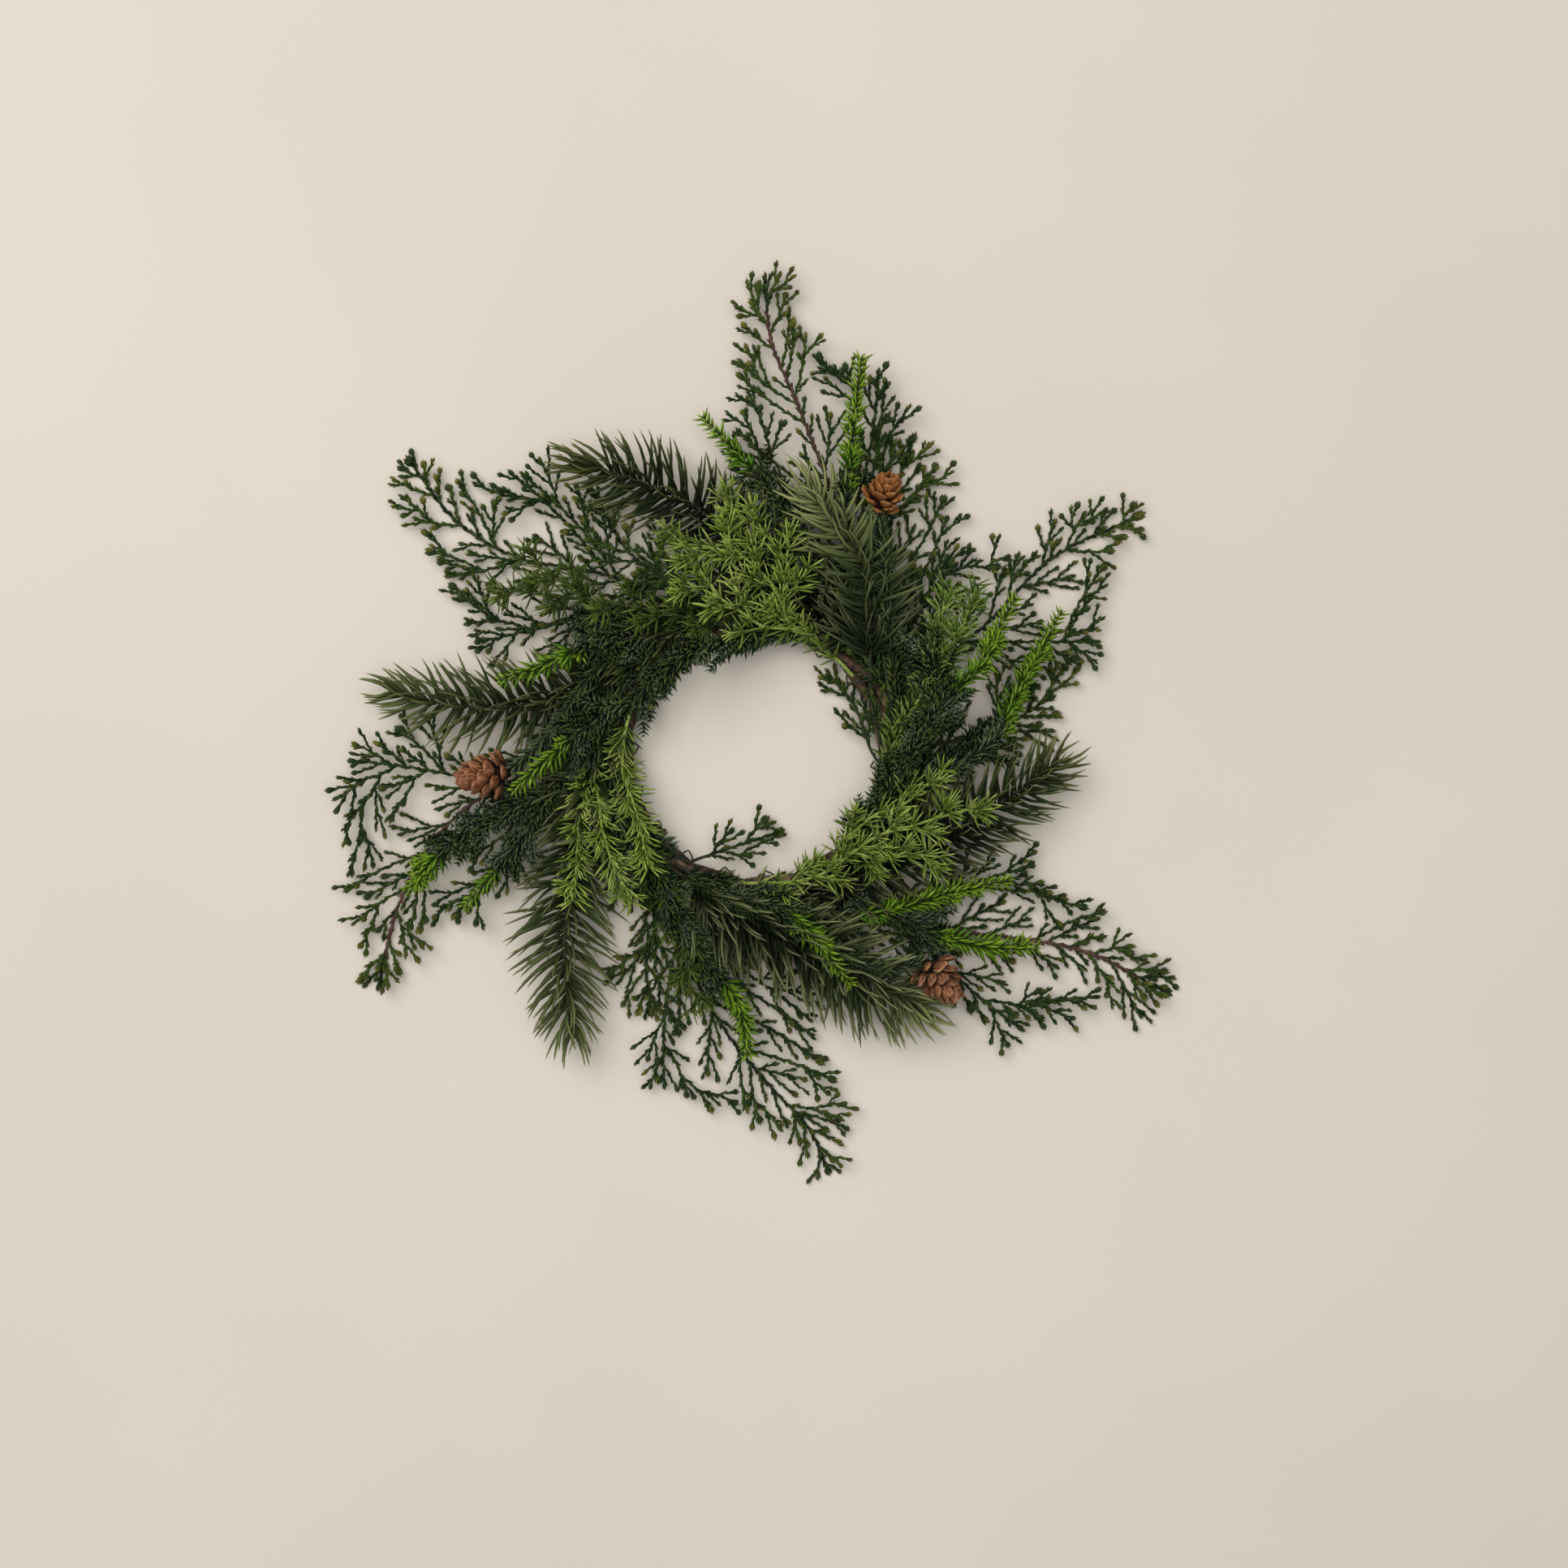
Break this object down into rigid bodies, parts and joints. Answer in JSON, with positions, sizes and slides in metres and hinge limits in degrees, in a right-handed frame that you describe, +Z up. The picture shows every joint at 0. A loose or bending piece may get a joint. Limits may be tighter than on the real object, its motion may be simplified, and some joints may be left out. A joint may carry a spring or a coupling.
{
  "type": "evergreen wreath",
  "caption": "Fresh evergreen wreath: a small twisted vine ring bound all round with flat cypress sprays, fir, juniper and deodar sprigs and small cones, all sweeping anticlockwise.",
  "frame": {"origin": "on the surface the wreath lies on, under the middle of its outline", "axes": "+Y towards the top of the wreath as it is looked at, +Z up out of its face, +X to the right"},
  "size_m": [0.401, 0.4426, 0.0454],
  "materials": {
    "bark": "rough brown bark of the vines and stems",
    "wire": "dark green florist's wire",
    "cypress": "matt blue-green scale leaves, yellower at the tips",
    "fir": "slightly waxy dark green to olive needles",
    "juniper": "fine needles, blue-grey inside and bright green at the tip",
    "deodar": "light yellow-green slim needles",
    "cone": "dry orange-brown woody scales"
  },
  "bodies": {
    "root": {"binding_wire": "wire", "cypress_spray_bottom": "cypress", "cypress_spray_left": "cypress", "cypress_spray_lower_left": "cypress", "cypress_spray_lower_right": "cypress", "cypress_spray_right": "cypress", "cypress_spray_right_small": "cypress", "cypress_spray_top": "cypress", "cypress_spray_upper_left": "cypress", "cypress_spray_upper_left_small": "cypress", "cypress_spray_upper_right": "cypress", "cypress_tip_inside_bottom": "cypress", "cypress_tip_inside_right": "cypress", "deodar_sprig_bottom": "deodar", "deodar_sprig_left": "deodar", "deodar_sprig_left_inner": "deodar", "deodar_sprig_lower_right": "deodar", "deodar_sprig_top": "deodar", "deodar_sprig_upper_left": "deodar", "deodar_sprig_upper_right": "deodar", "fir_branch_left": "fir", "fir_branch_lower_left": "fir", "fir_branch_lower_right": "fir", "fir_branch_right": "fir", "fir_branch_top": "fir", "fir_branch_upper_left": "fir", "juniper_sprig_bottom": "juniper", "juniper_sprig_bottom_right": "juniper", "juniper_sprig_inside_upper_left": "juniper", "juniper_sprig_left": "juniper", "juniper_sprig_lower_left": "juniper", "juniper_sprig_lower_right": "juniper", "juniper_sprig_right": "juniper", "juniper_sprig_right_inner": "juniper", "juniper_sprig_top": "juniper", "juniper_sprig_top_left": "juniper", "juniper_sprig_upper_left": "juniper", "juniper_sprig_upper_left_dark": "juniper", "pine_cone_left": "cone", "pine_cone_lower_right": "cone", "pine_cone_top": "cone", "vine_1": "bark", "vine_2": "bark", "vine_3": "bark"}
  },
  "joints": []
}
